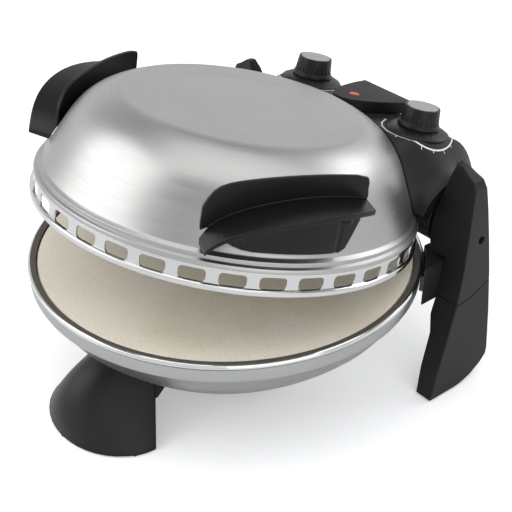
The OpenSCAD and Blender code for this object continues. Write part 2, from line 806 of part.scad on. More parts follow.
module housing() {
    ear_in = cone_x - bush_l - 2;
    color("#2b2b2d") difference() {
        union() {
            difference() {
                housing_form(0);
                difference() {
                    housing_form(housing_wall);
                    lid_solid(dome_gap + housing_wall);
                    pair() translate([ear_in, 0, 0]) cube([far, far, far]);
                }
            }
            pair() ear(ear_in, cone_x + 8);
            intersection() {
                housing_form(1);
                for (x = pillar_x) translate([x, pillar_y, housing_low + cover_t + 0.2])
                    cylinder(r = 5, h = 60);
            }
        }
        pair() cone_out(-cone_gap);
        lid_solid(dome_gap);
        pair() hinge_rod(bush_r + 0.05, ear_in - 1, cone_x + 20);
        dial_bores(shaft_r + 1);
        housing_screw_rods(screw_hole_r);
        gland_hole(gland_r + 0.05);
    }
}
pillar_x = [-60, 60];
pillar_y = hinge_y + 22;
gland_r = 6;
gland_x = -30;
gland_z = back_z - 6;
module gland_hole(r) {
    translate([gland_x, housing_back, gland_z]) rotate([-90, 0, 0]) cylinder(r = r, h = 60);
}
module dial_bores(r) {
    pair() translate([dial_x, dial_y, housing_top - 20]) cylinder(r = r, h = 60);
}
// Bottom cover, let in between the housing's walls
module housing_cover() {
    color("#232325") difference() {
        intersection() {
            housing_form(housing_wall + 0.3);
            translate([-(cone_x - bush_l - 3), hinge_y - 44, housing_low])
                cube([2 * (cone_x - bush_l - 3), 100, cover_t]);
        }
        lid_solid(dome_gap + housing_wall + 0.5);
        housing_screw_rods(screw_hole_r);
    }
}
module housing_screw_rods(r) {
    for (x = pillar_x) translate([x, pillar_y, housing_low - 1])
        cylinder(r = r, h = 20, $fn = 32);
}
module housing_screws() {
    color("gray") for (x = pillar_x) translate([x, pillar_y, housing_low - 2]) {
        cylinder(r = 3.6, h = 2, $fn = 32);
        cylinder(r = screw_hole_r - 0.1, h = 12, $fn = 32);
    }
}
module hinge_bushes() {
    color("goldenrod") pair() difference() {
        hinge_rod(bush_r, cone_x - bush_l - 2, cone_x - cone_gap - 0.1);
        hinge_rod(pin_r + pin_gap, cone_x - bush_l - 3, cone_x + 1);
    }
}
// Plan of the raised panel: a tongue that narrows toward the dome
function panel_edge(x) = hinge_y + 28 - panel_l * pow(1 - pow(abs(x) / panel_w, 2.2), 0.8);
module panel() {
    steps = 20;
    color("#303032") difference() {
        translate([0, 0, housing_top]) linear_extrude(panel_h)
            polygon([for (i = [-steps : steps]) let (x = panel_w * sin(90 * i / steps))
                [x, panel_edge(x)]]);
        lid_solid(dome_gap);
        lamp_hole(lamp_r + 0.1);
    }
}
module lamp_hole(r) {
    translate([0, hinge_y - 16, housing_top]) cylinder(r = r, h = panel_h + 1, $fn = 48);
}
module lamp_lens() {
    color("orangered") intersection() {
        lamp_hole(lamp_r);
        translate([0, hinge_y - 16, housing_top + panel_h - 11]) sphere(r = 12);
    }
}
module collar_right() {
    color("#2b2b2d") translate([dial_x, dial_y, housing_top]) difference() {
        rotate_extrude() polygon([[0, 0], [collar_r, 0], [collar_r - 1, 1.2],
            [knob_r + 2, collar_h], [0, collar_h]]);
        translate([0, 0, -1]) cylinder(r = shaft_r + 1, h = collar_h + 2);
    }
}
module collar_left() {
    mirror([1, 0, 0]) collar_right();
}
// Body of a control under the housing's top, with a threaded neck round the shaft
module control_unit() {
    unit = 12;
    depth = 20;
    color("gray") translate([dial_x, dial_y, 0]) difference() {
        union() {
            translate([0, 0, housing_top - housing_wall - depth]) cylinder(r = unit, h = depth);
            translate([0, 0, housing_top - housing_wall - 0.1])
                cylinder(r = shaft_r + 0.9, h = housing_wall + collar_h - 1);
        }
        translate([0, 0, housing_top - 16]) cylinder(r = shaft_r + 0.05, h = 60);
    }
}
module thermostat_unit() {
    control_unit();
}
module timer_unit() {
    mirror([1, 0, 0]) control_unit();
}
module cord_gland() {
    wall_y = housing_back + housing_round;
    color("#1c1c1e") translate([gland_x, wall_y - housing_wall - 4, gland_z])
        rotate([-90, 0, 0]) difference() {
            cylinder(r = gland_r, h = housing_wall + 4);
            translate([0, 0, -1]) cylinder(r = 3, h = 40);
        }
}

// ---- Dials ----
knob_z = housing_top + collar_h + 0.4;
module knob_right() {
    cap_t = 1;
    color("#333335") translate([dial_x, dial_y, knob_z]) difference() {
        union() {
            cylinder(r1 = knob_r, r2 = knob_r - 0.6, h = 3);
            translate([0, 0, 3]) cylinder(r1 = knob_top_r + 1.6, r2 = knob_top_r, h = knob_h - 3);
        }
        for (i = [0 : flute_n - 1]) rotate([0, 0, i * 360 / flute_n])
            translate([knob_top_r + 2.2, 0, 4]) cylinder(r = 1.5, h = knob_h - 6, $fn = 16);
        translate([0, 0, knob_h - cap_t]) cylinder(r = knob_top_r - 1.6, h = 2);
        translate([0, 0, -1]) cylinder(r = shaft_r + 0.02, h = knob_h - 3);
    }
}
module knob_left() {
    mirror([1, 0, 0]) knob_right();
}
module knob_cap_right() {
    cap_t = 1;
    color("silver") translate([dial_x, dial_y, knob_z + knob_h - cap_t])
        cylinder(r = knob_top_r - 1.7, h = cap_t + 0.3);
}
module knob_cap_left() {
    mirror([1, 0, 0]) knob_cap_right();
}
module shaft_right() {
    color("goldenrod") translate([dial_x, dial_y, housing_top - 14])
        cylinder(r = shaft_r, h = 14 + collar_h + 0.4 + knob_h - 4.2);
}
module shaft_left() {
    mirror([1, 0, 0]) shaft_right();
}

placed() bowl_shell();
placed() bowl_rim();
placed() stone();
placed() lower_reflector();
placed() lower_element();
placed() lower_clips();
placed() lower_terminals();
placed() front_foot();
placed() foot_neck();
placed() foot_screws();
placed() foot_pads();
placed() rear_band();
placed() arm_left();
placed() arm_right();
placed() arm_screws();
placed() leg_upper_left();
placed() leg_upper_right();
placed() leg_lower_left();
placed() leg_lower_right();
placed() leg_screws();
placed() leg_pads();
placed() hinge_pins();
placed() opened() lid_band();
placed() opened() lid_dome();
placed() opened() lid_liner();
placed() opened() upper_element();
placed() opened() upper_clips();
placed() opened() upper_terminals();
placed() opened() handle_left();
placed() opened() handle_right();
placed() opened() handle_base_left();
placed() opened() handle_base_right();
placed() opened() handle_screws();
placed() opened() housing();
placed() opened() housing_cover();
placed() opened() housing_screws();
placed() opened() hinge_bushes();
placed() opened() panel();
placed() opened() lamp_lens();
placed() opened() collar_left();
placed() opened() collar_right();
placed() opened() timer_unit();
placed() opened() thermostat_unit();
placed() opened() cord_gland();
placed() opened() knob_left();
placed() opened() knob_right();
placed() opened() knob_cap_left();
placed() opened() knob_cap_right();
placed() opened() shaft_left();
placed() opened() shaft_right();
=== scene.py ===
import json
import math
import bmesh
import bpy
from mathutils import Matrix, Vector
from mathutils.bvhtree import BVHTree


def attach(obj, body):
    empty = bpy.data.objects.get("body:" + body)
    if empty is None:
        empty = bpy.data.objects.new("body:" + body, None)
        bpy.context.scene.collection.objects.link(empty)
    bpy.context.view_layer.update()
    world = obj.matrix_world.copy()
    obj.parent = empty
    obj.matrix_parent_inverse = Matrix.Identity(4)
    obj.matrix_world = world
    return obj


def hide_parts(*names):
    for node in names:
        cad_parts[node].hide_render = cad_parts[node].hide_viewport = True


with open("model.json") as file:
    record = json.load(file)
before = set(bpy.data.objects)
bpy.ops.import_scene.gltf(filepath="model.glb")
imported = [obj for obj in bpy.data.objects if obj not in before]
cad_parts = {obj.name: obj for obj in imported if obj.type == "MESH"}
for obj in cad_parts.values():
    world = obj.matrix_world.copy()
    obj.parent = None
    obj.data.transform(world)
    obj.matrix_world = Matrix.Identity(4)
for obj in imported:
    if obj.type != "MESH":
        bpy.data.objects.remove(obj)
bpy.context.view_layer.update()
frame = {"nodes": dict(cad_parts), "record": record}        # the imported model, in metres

scene = bpy.context.scene
print("frame loaded:", len(frame["nodes"]), "nodes")


def addNode(tree, kind, x=0, y=0, **settings):
    node = tree.nodes.new(kind)
    node.location = (x, y)
    for name, value in settings.items():
        setattr(node, name, value)
    return node


def startMaterial(name, colour, roughness, metallic=0.0, specular=0.5):
    material = bpy.data.materials.new(name)
    material.use_nodes = True
    tree = material.node_tree
    shader = tree.nodes["Principled BSDF"]
    shader.inputs["Base Color"].default_value = (*colour, 1)
    shader.inputs["Roughness"].default_value = roughness
    shader.inputs["Metallic"].default_value = metallic
    shader.inputs["Specular IOR Level"].default_value = specular
    return material, tree, shader


def mapRange(tree, source, low, high, fromLow=0.0, fromHigh=1.0, x=-300, y=0):
    node = addNode(tree, "ShaderNodeMapRange", x, y)
    node.inputs["From Min"].default_value = fromLow
    node.inputs["From Max"].default_value = fromHigh
    node.inputs["To Min"].default_value = low
    node.inputs["To Max"].default_value = high
    tree.links.new(source, node.inputs["Value"])
    return node.outputs["Result"]


def varyRoughness(tree, shader, source, low, high, fromLow=0.0, fromHigh=1.0):
    tree.links.new(mapRange(tree, source, low, high, fromLow, fromHigh),
                   shader.inputs["Roughness"])


def objectCoords(tree, origin=(0, 0, 0), tilt=0.0, scale=(1, 1, 1)):
    # Object coordinates moved to a piece's own centre and turned upright
    coord = addNode(tree, "ShaderNodeTexCoord", -1700)
    shift = addNode(tree, "ShaderNodeVectorMath", -1500, operation="SUBTRACT")
    shift.inputs[1].default_value = origin
    turn = addNode(tree, "ShaderNodeMapping", -1300)
    turn.inputs["Rotation"].default_value = (tilt, 0, 0)
    turn.inputs["Scale"].default_value = scale
    tree.links.new(coord.outputs["Object"], shift.inputs[0])
    tree.links.new(shift.outputs["Vector"], turn.inputs["Vector"])
    return turn.outputs["Vector"]


def addNoise(tree, vector, scale, detail=4.0, rough=0.5, x=-700, y=0):
    node = addNode(tree, "ShaderNodeTexNoise", x, y)
    node.inputs["Scale"].default_value = scale
    node.inputs["Detail"].default_value = detail
    node.inputs["Roughness"].default_value = rough
    tree.links.new(vector, node.inputs["Vector"])
    return node.outputs["Fac"]


def addBump(tree, shader, height, strength, distance, x=-200, y=-300, chain=None):
    node = addNode(tree, "ShaderNodeBump", x, y)
    node.inputs["Strength"].default_value = strength
    node.inputs["Distance"].default_value = distance
    tree.links.new(height, node.inputs["Height"])
    if chain is not None:
        tree.links.new(chain, node.inputs["Normal"])
    tree.links.new(node.outputs["Normal"], shader.inputs["Normal"])


def colourRamp(tree, source, stops, x=-400, y=200):
    node = addNode(tree, "ShaderNodeValToRGB", x, y)
    ramp = node.color_ramp
    ramp.elements[0].position, ramp.elements[0].color = stops[0][0], (*stops[0][1], 1)
    ramp.elements[1].position, ramp.elements[1].color = stops[-1][0], (*stops[-1][1], 1)
    for place, colour in stops[1:-1]:
        ramp.elements.new(place).color = (*colour, 1)
    tree.links.new(source, node.inputs["Fac"])
    return node.outputs["Color"]


def varyColour(tree, shader, source, stops):
    tree.links.new(colourRamp(tree, source, stops), shader.inputs["Base Color"])


def shadesOf(colour, darker, lighter, low=0.3, high=0.7):
    return [(low, tuple(v * darker for v in colour)),
            (high, tuple(min(1.0, v * lighter) for v in colour))]


def axisRadius(tree, split, x, y=0):
    # Distance from the upright axis of the pattern
    flat = addNode(tree, "ShaderNodeCombineXYZ", x, y)
    tree.links.new(split.outputs["X"], flat.inputs["X"])
    tree.links.new(split.outputs["Y"], flat.inputs["Y"])
    radius = addNode(tree, "ShaderNodeVectorMath", x + 100, y, operation="LENGTH")
    tree.links.new(flat.outputs[0], radius.inputs[0])
    return radius.outputs["Value"]


def radialLines(tree, vector, across, along):
    # Noise drawn out round the piece's own axis, as a turned surface shows
    split = addNode(tree, "ShaderNodeSeparateXYZ", -1100)
    tree.links.new(vector, split.inputs[0])
    radius = axisRadius(tree, split, -1000)
    angle = addNode(tree, "ShaderNodeMath", -900, 150, operation="ARCTAN2")
    tree.links.new(split.outputs["Y"], angle.inputs[0])
    tree.links.new(split.outputs["X"], angle.inputs[1])
    wrap = addNode(tree, "ShaderNodeMath", -800, 150, operation="COSINE")
    tree.links.new(angle.outputs[0], wrap.inputs[0])
    lines = addNode(tree, "ShaderNodeCombineXYZ", -750)
    tree.links.new(radius, lines.inputs["X"])
    tree.links.new(split.outputs["Z"], lines.inputs["Y"])
    tree.links.new(wrap.outputs[0], lines.inputs["Z"])
    stretch = addNode(tree, "ShaderNodeMapping", -650)
    stretch.inputs["Scale"].default_value = (across, across, along)
    tree.links.new(lines.outputs[0], stretch.inputs["Vector"])
    return stretch.outputs["Vector"]


# The lid's places are given as if it were closed, about the bowl's axis
midY = 0.00965546         # how far that axis lies in front of the origin
lidValues = {"tilt": math.radians(12), "hingeY": 0.140, "hingeZ": 0.141, "middleZ": 0.1253}
lidTilt = lidValues["tilt"]
toRest = (Matrix.Translation((0, lidValues["hingeY"] - midY, lidValues["hingeZ"]))
          @ Matrix.Rotation(-lidTilt, 4, "X")
          @ Matrix.Translation((0, -lidValues["hingeY"], -lidValues["hingeZ"])))
lidCentre = toRest @ Vector((0, 0, lidValues["middleZ"]))

satinValues = {"colour": (0.42, 0.424, 0.416), "roughness": 0.34, "across": 900, "along": 2.5,
               "cloud": 9.0, "darker": 0.93, "lighter": 1.04, "bump": 0.04, "depth": 0.0002}


def satinSteel(name, origin, tilt, low, high, colour=None):
    base = colour or satinValues["colour"]
    material, tree, shader = startMaterial(name, base, satinValues["roughness"], 1.0)
    vector = objectCoords(tree, origin, tilt)
    turned = radialLines(tree, vector, satinValues["across"], satinValues["along"])
    lines = addNoise(tree, turned, 1.0, 2.0, 0.6)
    cloud = addNoise(tree, vector, satinValues["cloud"], 3.0, 0.5, -700, 300)
    varyRoughness(tree, shader, lines, low, high, 0.25, 0.75)
    varyColour(tree, shader, cloud, shadesOf(base, satinValues["darker"],
                                             satinValues["lighter"], 0.25, 0.75))
    addBump(tree, shader, lines, satinValues["bump"], satinValues["depth"])
    return material


pressedRing = {"radius": 0.068, "width": 0.006, "strength": 0.5, "depth": 0.0006}


def domeSheet(name, origin, tilt, low, high):
    # Brushed sheet with a shallow ring pressed into its flat top
    material = satinSteel(name, origin, tilt, low, high)
    tree = material.node_tree
    shader = tree.nodes["Principled BSDF"]
    brushed = shader.inputs["Normal"].links[0].from_socket
    split = addNode(tree, "ShaderNodeSeparateXYZ", -900, -600)
    tree.links.new(objectCoords(tree, origin, tilt), split.inputs[0])
    radius = axisRadius(tree, split, -750, -600)
    half = pressedRing["width"] / 2
    step = addNode(tree, "ShaderNodeMapRange", -450, -600, interpolation_type="SMOOTHSTEP")
    step.inputs["From Min"].default_value = pressedRing["radius"] - half
    step.inputs["From Max"].default_value = pressedRing["radius"] + half
    tree.links.new(radius, step.inputs["Value"])
    addBump(tree, shader, step.outputs["Result"], pressedRing["strength"],
            pressedRing["depth"], -200, -600, brushed)
    return material


mirrorValues = {"smear": 30.0, "shiniest": 0.6, "dullest": 1.7, "scratch": 260.0,
                "stretch": (1, 1, 12), "bump": 0.02, "depth": 0.0001}


def mirrorSteel(name, colour, roughness):
    material, tree, shader = startMaterial(name, colour, roughness, 1.0)
    smear = addNoise(tree, objectCoords(tree), mirrorValues["smear"], 5.0, 0.6)
    varyRoughness(tree, shader, smear, roughness * mirrorValues["shiniest"],
                  roughness * mirrorValues["dullest"], 0.3, 0.7)
    drawn = objectCoords(tree, scale=mirrorValues["stretch"])
    scratch = addNoise(tree, drawn, mirrorValues["scratch"], 3.0, 0.7, -700, -300)
    addBump(tree, shader, scratch, mirrorValues["bump"], mirrorValues["depth"])
    return material


plasticValues = {"grain": 2600, "patches": 14.0, "specular": 0.26, "darker": 0.85,
                 "lighter": 1.2, "bump": 0.12, "depth": 0.0002}


def mattePlastic(name, colour, low, high):
    # Spark-eroded moulding texture with slight shine changes
    material, tree, shader = startMaterial(name, colour, 0.5, 0.0, plasticValues["specular"])
    vector = objectCoords(tree)
    grain = addNoise(tree, vector, plasticValues["grain"], 2.0, 0.5)
    patches = addNoise(tree, vector, plasticValues["patches"], 4.0, 0.55, -700, 300)
    varyRoughness(tree, shader, patches, low, high, 0.3, 0.7)
    varyColour(tree, shader, patches, shadesOf(colour, plasticValues["darker"],
                                               plasticValues["lighter"]))
    addBump(tree, shader, grain, plasticValues["bump"], plasticValues["depth"])
    return material


stoneValues = {"colour": (0.80, 0.74, 0.62), "roughness": 0.78, "specular": 0.3,
               "cloud": 14.0, "speck": 700.0, "bump": 0.3, "depth": 0.0003,
               "warm": [(0.2, (0.72, 0.64, 0.49)), (0.5, (0.83, 0.77, 0.64)),
                        (0.8, (0.87, 0.82, 0.71))],
               "dots": [(0.30, (0.72, 0.66, 0.54)), (0.42, (1, 1, 1))]}


def bakingStone():
    material, tree, shader = startMaterial("creamStone", stoneValues["colour"],
                                           stoneValues["roughness"], 0.0,
                                           stoneValues["specular"])
    vector = objectCoords(tree)
    cloud = addNoise(tree, vector, stoneValues["cloud"], 5.0, 0.6, -700, 300)
    speck = addNoise(tree, vector, stoneValues["speck"], 3.0, 0.7, -700, 0)
    warm = colourRamp(tree, cloud, stoneValues["warm"])
    dots = colourRamp(tree, speck, stoneValues["dots"], -400, 0)
    mix = addNode(tree, "ShaderNodeMix", -150, 150, data_type="RGBA", blend_type="MULTIPLY")
    mix.inputs["Factor"].default_value = 1.0
    tree.links.new(warm, mix.inputs["A"])
    tree.links.new(dots, mix.inputs["B"])
    tree.links.new(mix.outputs["Result"], shader.inputs["Base Color"])
    addBump(tree, shader, speck, stoneValues["bump"], stoneValues["depth"])
    return material


enamelValues = {"colour": (0.018, 0.018, 0.019), "peel": 420.0, "low": 0.24, "high": 0.36,
                "bump": 0.08, "depth": 0.0002}


def blackSteel():
    material, tree, shader = startMaterial("blackEnamelledSteel", enamelValues["colour"], 0.3)
    peel = addNoise(tree, objectCoords(tree), enamelValues["peel"], 2.0, 0.5)
    varyRoughness(tree, shader, peel, enamelValues["low"], enamelValues["high"])
    addBump(tree, shader, peel, enamelValues["bump"], enamelValues["depth"])
    return material


tubeValues = {"colour": (0.12, 0.11, 0.11), "metallic": 0.8, "tint": 30.0, "low": 0.4,
              "high": 0.65, "tints": [(0.3, (0.07, 0.065, 0.07)), (0.55, (0.15, 0.13, 0.12)),
                                      (0.8, (0.2, 0.19, 0.21))]}


def elementSteel():
    # Tube darkened by heat
    material, tree, shader = startMaterial("heatedTube", tubeValues["colour"], 0.5,
                                           tubeValues["metallic"])
    tint = addNoise(tree, objectCoords(tree), tubeValues["tint"], 4.0, 0.6)
    varyColour(tree, shader, tint, tubeValues["tints"])
    varyRoughness(tree, shader, tint, tubeValues["low"], tubeValues["high"])
    return material


detailValues = {"shiniest": 0.8, "dullest": 1.2, "depth": 0.0002}


def plainDetail(name, colour, roughness, metallic=0.0, scale=120.0, change=0.1, bump=0.05):
    material, tree, shader = startMaterial(name, colour, roughness, metallic)
    grain = addNoise(tree, objectCoords(tree), scale, 3.0, 0.6)
    varyColour(tree, shader, grain, shadesOf(colour, 1 - change, 1 + change))
    varyRoughness(tree, shader, grain, roughness * detailValues["shiniest"],
                  roughness * detailValues["dullest"])
    addBump(tree, shader, grain, bump, detailValues["depth"])
    return material


lensValues = {"colour": (0.42, 0.055, 0.02), "roughness": 0.15, "ribs": 500.0, "bump": 0.1,
              "depth": 0.0003, "tints": [(0.3, (0.36, 0.04, 0.015)), (0.7, (0.52, 0.09, 0.03))],
              "glow": (1.0, 0.25, 0.05, 1), "glowStrength": 0.04}


def lampMaterial():
    material, tree, shader = startMaterial("amberLens", lensValues["colour"],
                                           lensValues["roughness"])
    ribs = addNoise(tree, objectCoords(tree), lensValues["ribs"], 2.0, 0.5)
    varyColour(tree, shader, ribs, lensValues["tints"])
    addBump(tree, shader, ribs, lensValues["bump"], lensValues["depth"])
    shader.inputs["Emission Color"].default_value = lensValues["glow"]
    shader.inputs["Emission Strength"].default_value = lensValues["glowStrength"]
    return material


capCentre = toRest @ Vector((0.0655, 0.136, 0.2))       # the right knob's cap
domeSteel = domeSheet("spunDomeSteel", lidCentre, lidTilt, low=0.31, high=0.42)
bowlSteel = satinSteel("spunBowlSteel", (0, -midY, 0), 0, low=0.26, high=0.38)
capSteel = satinSteel("dialCapSteel", capCentre, lidTilt, low=0.3, high=0.42,
                      colour=(0.40, 0.40, 0.405))
bandSteel = mirrorSteel("polishedBandSteel", (0.60, 0.60, 0.60), roughness=0.10)
rimSteel = mirrorSteel("polishedRimSteel", (0.68, 0.68, 0.675), roughness=0.08)
sheetSteel = mirrorSteel("brightReflectorSheet", (0.72, 0.72, 0.73), roughness=0.22)
screwSteel = plainDetail("platedScrewSteel", (0.5, 0.5, 0.51), 0.3, 1.0, scale=600.0)
bushBrass = plainDetail("turnedBrass", (0.62, 0.45, 0.2), 0.3, 1.0, scale=500.0)
whiteCeramic = plainDetail("unglazedCeramic", (0.72, 0.71, 0.67), 0.7, scale=90.0)
rubber = plainDetail("blackRubber", (0.02, 0.02, 0.02), 0.8, scale=300.0, change=0.2, bump=0.2)
bodyPlastic = mattePlastic("charcoalPlastic", (0.0105, 0.0105, 0.011), low=0.36, high=0.48)
handlePlastic = mattePlastic("handlePlastic", (0.0045, 0.0045, 0.0048), low=0.28, high=0.38)
dialPlastic = mattePlastic("dialPlastic", (0.006, 0.006, 0.0062), low=0.32, high=0.44)
panelPlastic = mattePlastic("panelPlastic", (0.003, 0.0028, 0.0026), low=0.44, high=0.56)
stoneClay = bakingStone()
enamel = blackSteel()
tube = elementSteel()
lens = lampMaterial()
# Painted reflection: a dark grey-brown colour for the polished rim's flat top, standing in for the
# dark the rim reflects
rimReflectionPaint = plainDetail("paintedDarkRimReflection", (0.085, 0.075, 0.065), 0.5, scale=500.0, change=0.15)
whitePrint = plainDetail("whiteDialPrint", (0.75, 0.75, 0.73), 0.5, scale=900.0, change=0.05,
                         bump=0.02)

finishes = {
    "bowl_shell": bowlSteel, "bowl_rim": rimSteel, "stone": stoneClay,
    "lower_reflector": sheetSteel, "lower_element": tube, "lower_clips": sheetSteel,
    "lower_terminals": whiteCeramic, "front_foot": bodyPlastic, "foot_neck": bodyPlastic,
    "foot_screws": screwSteel, "foot_pads": rubber, "rear_band": enamel,
    "arm_left": enamel, "arm_right": enamel, "arm_screws": screwSteel,
    "leg_upper_left": bodyPlastic, "leg_upper_right": bodyPlastic,
    "leg_lower_left": bodyPlastic, "leg_lower_right": bodyPlastic,
    "leg_screws": screwSteel, "leg_pads": rubber, "hinge_pins": screwSteel,
    "lid_band": bandSteel, "lid_dome": domeSteel, "lid_liner": sheetSteel,
    "upper_element": tube, "upper_clips": sheetSteel, "upper_terminals": whiteCeramic,
    "handle_left": handlePlastic, "handle_right": handlePlastic,
    "handle_base_left": handlePlastic, "handle_base_right": handlePlastic,
    "handle_screws": screwSteel, "housing": bodyPlastic, "housing_cover": bodyPlastic,
    "housing_screws": screwSteel, "hinge_bushes": bushBrass, "panel": panelPlastic,
    "lamp_lens": lens, "collar_left": dialPlastic, "collar_right": dialPlastic,
    "timer_unit": screwSteel, "thermostat_unit": screwSteel, "cord_gland": rubber,
    "knob_left": dialPlastic, "knob_right": dialPlastic, "knob_cap_left": capSteel,
    "knob_cap_right": capSteel, "shaft_left": bushBrass, "shaft_right": bushBrass}


def nodeObject(name):
    return frame["nodes"][name]


for name, material in finishes.items():
    piece = nodeObject(name)
    piece.data.materials.clear()
    piece.data.materials.append(material)
print("materials set on", len(finishes), "nodes")

# Copies of the moulded and pressed pieces, with their edges softened
edgeWidths = {
    "front_foot": 0.0009, "foot_neck": 0.0006, "leg_upper_left": 0.0009, "leg_upper_right": 0.0009,
    "leg_lower_left": 0.0009, "leg_lower_right": 0.0009, "rear_band": 0.0005,
    "arm_left": 0.0006, "arm_right": 0.0006, "handle_left": 0.0007, "handle_right": 0.0007,
    "handle_base_left": 0.0006, "handle_base_right": 0.0006, "housing": 0.0008,
    "housing_cover": 0.0004, "panel": 0.0008, "collar_left": 0.0005, "collar_right": 0.0005,
    "knob_left": 0.0003, "knob_right": 0.0003, "knob_cap_left": 0.0002, "knob_cap_right": 0.0002,
    "stone": 0.0008, "lid_dome": 0.0003, "lid_band": 0.0002, "bowl_shell": 0.0003,
    "bowl_rim": 0.0003, "lid_liner": 0.0003, "lower_reflector": 0.0003}
softening = {"sharp": 32.0, "segments": 2, "merge": 0.000002, "flat": 0.4}
bodyOf = {node: body for body, nodes in frame["record"]["behaviour"]["bodies"].items()
          for node in nodes}


def softCopy(node, width):
    work = bmesh.new()
    work.from_mesh(nodeObject(node).data)
    bmesh.ops.remove_doubles(work, verts=work.verts, dist=softening["merge"])
    bmesh.ops.dissolve_degenerate(work, edges=work.edges, dist=softening["merge"])
    bmesh.ops.dissolve_limit(work, angle_limit=math.radians(softening["flat"]),
                             verts=work.verts, edges=work.edges)
    for face in work.faces:
        face.smooth = True
    mesh = bpy.data.meshes.new(node + "_soft")
    work.to_mesh(mesh)
    work.free()
    piece = bpy.data.objects.new(node + "_soft", mesh)
    scene.collection.objects.link(piece)
    mesh.materials.append(finishes[node])
    edge = piece.modifiers.new("softEdges", "BEVEL")
    edge.width, edge.segments = width, softening["segments"]
    edge.limit_method, edge.angle_limit = "ANGLE", math.radians(softening["sharp"])
    edge.use_clamp_overlap = False
    even = piece.modifiers.new("evenShading", "WEIGHTED_NORMAL")
    even.keep_sharp = True
    even.mode = "FACE_AREA_WITH_ANGLE"
    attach(piece, bodyOf[node])
    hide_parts(node)
    return piece


softPieces = {node: softCopy(node, width) for node, width in edgeWidths.items()}
print("softened copies of", len(softPieces), "nodes")

# Faces of the rim inside this radius and above this height get the painted dark reflection
rimValues = {"reflectionOutside": 0.1602, "reflectionAbove": 0.100}


def paintRimReflection():
    # Painted reflection: the flat top of the polished rim, inside the bowl's bright rolled edge,
    # is coloured dark grey-brown in place of the dark it reflects
    mesh = softPieces["bowl_rim"].data
    mesh.materials.append(rimReflectionPaint)
    for face in mesh.polygons:
        x, y, z = face.center
        if math.hypot(x, y + midY) < rimValues["reflectionOutside"] and z > rimValues["reflectionAbove"]:
            face.material_index = 1


paintRimReflection()

dialValues = {
    "left": {"x": -0.0655, "start": -150, "end": 60, "marks": 15},
    "right": {"x": 0.0655, "start": -165, "end": 45, "marks": 11},
    "y": 0.136, "inside": 0.0290, "outside": 0.0299, "tick": 0.0012, "longTick": 1.6,
    "tickWidth": 0.0006, "steps": 90, "lift": 0.00012, "above": 0.26, "fall": 0.058}


def layOnHousing(work, surface):
    # Drops each point onto the housing, along the lid's own vertical
    down = toRest.to_3x3() @ Vector((0, 0, -1))
    for vert in work.verts:
        start = toRest @ Vector((vert.co.x, vert.co.y, dialValues["above"]))
        hit, normal = surface.ray_cast(start, down)[:2]
        vert.co = (hit + normal * dialValues["lift"] if hit
                   else start + down * dialValues["fall"])


def dialScale(side, surface):
    values = dialValues[side]
    work = bmesh.new()
    span = math.radians(values["end"] - values["start"])
    first = Matrix.Rotation(math.radians(values["start"]), 3, "Z")
    ends = [work.verts.new(first @ Vector((r, 0, 0)))
            for r in (dialValues["inside"], dialValues["outside"])]
    bmesh.ops.spin(work, geom=[*ends, work.edges.new(ends)], axis=(0, 0, 1), cent=(0, 0, 0),
                   angle=span, steps=dialValues["steps"])
    for mark in range(values["marks"]):
        turn = math.radians(values["start"]) + span * mark / (values["marks"] - 1)
        long = dialValues["tick"] * (dialValues["longTick"] if mark % 2 == 0 else 1.0)
        place = (Matrix.Rotation(turn, 4, "Z")
                 @ Matrix.Translation((dialValues["outside"] + long / 2, 0, 0))
                 @ Matrix.Diagonal((long, dialValues["tickWidth"], 1, 1)))
        bmesh.ops.create_grid(work, x_segments=4, y_segments=1, size=0.5, matrix=place)
    bmesh.ops.translate(work, verts=work.verts, vec=(values["x"], dialValues["y"], 0))
    layOnHousing(work, surface)
    bmesh.ops.recalc_face_normals(work, faces=work.faces)
    mesh = bpy.data.meshes.new("dialScale_" + side)
    work.to_mesh(mesh)
    work.free()
    piece = bpy.data.objects.new("dialScale_" + side, mesh)
    scene.collection.objects.link(piece)
    mesh.materials.append(whitePrint)
    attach(piece, "lid")


housingTree = BVHTree.FromPolygons([v.co for v in nodeObject("housing").data.vertices],
                                   [p.vertices for p in nodeObject("housing").data.polygons])
for side in ("left", "right"):
    dialScale(side, housingTree)
print("dial scales laid on the housing")

stageValues = {"floorSize": 16.0, "floorColour": (0.88, 0.88, 0.88), "floorGlow": 0.31,
               "farGlow": 0.9, "glowFrom": 0.5, "glowTo": 2.0, "white": 1.0,
               "worldLight": 0.5, "worldColour": (0.93, 0.95, 1.0, 1), "ceiling": 0.33,
               "wallTop": 0.25, "ceilingFrom": 0.75}


def makeStage():
    mesh = bpy.data.meshes.new("floor")
    work = bmesh.new()
    bmesh.ops.create_grid(work, x_segments=1, y_segments=1, size=stageValues["floorSize"] / 2)
    work.to_mesh(mesh)
    work.free()
    floor = bpy.data.objects.new("floor", mesh)
    scene.collection.objects.link(floor)
    material, tree, shader = startMaterial("paleFloor", stageValues["floorColour"], 0.6, 0.0, 0.15)
    # The eye sees the open floor as white, more so far away, and its shadow stays
    path = addNode(tree, "ShaderNodeLightPath", -500)
    place = addNode(tree, "ShaderNodeTexCoord", -900, -200)
    away = addNode(tree, "ShaderNodeVectorMath", -700, -200, operation="LENGTH")
    tree.links.new(place.outputs["Object"], away.inputs[0])
    far = mapRange(tree, away.outputs["Value"], stageValues["floorGlow"],
                   stageValues["farGlow"], stageValues["glowFrom"], stageValues["glowTo"],
                   -500, -200)
    glow = addNode(tree, "ShaderNodeMath", -300, operation="MULTIPLY")
    tree.links.new(far, glow.inputs[1])
    tree.links.new(path.outputs["Is Camera Ray"], glow.inputs[0])
    shader.inputs["Emission Color"].default_value = (1, 1, 1, 1)
    tree.links.new(glow.outputs[0], shader.inputs["Emission Strength"])
    mesh.materials.append(material)


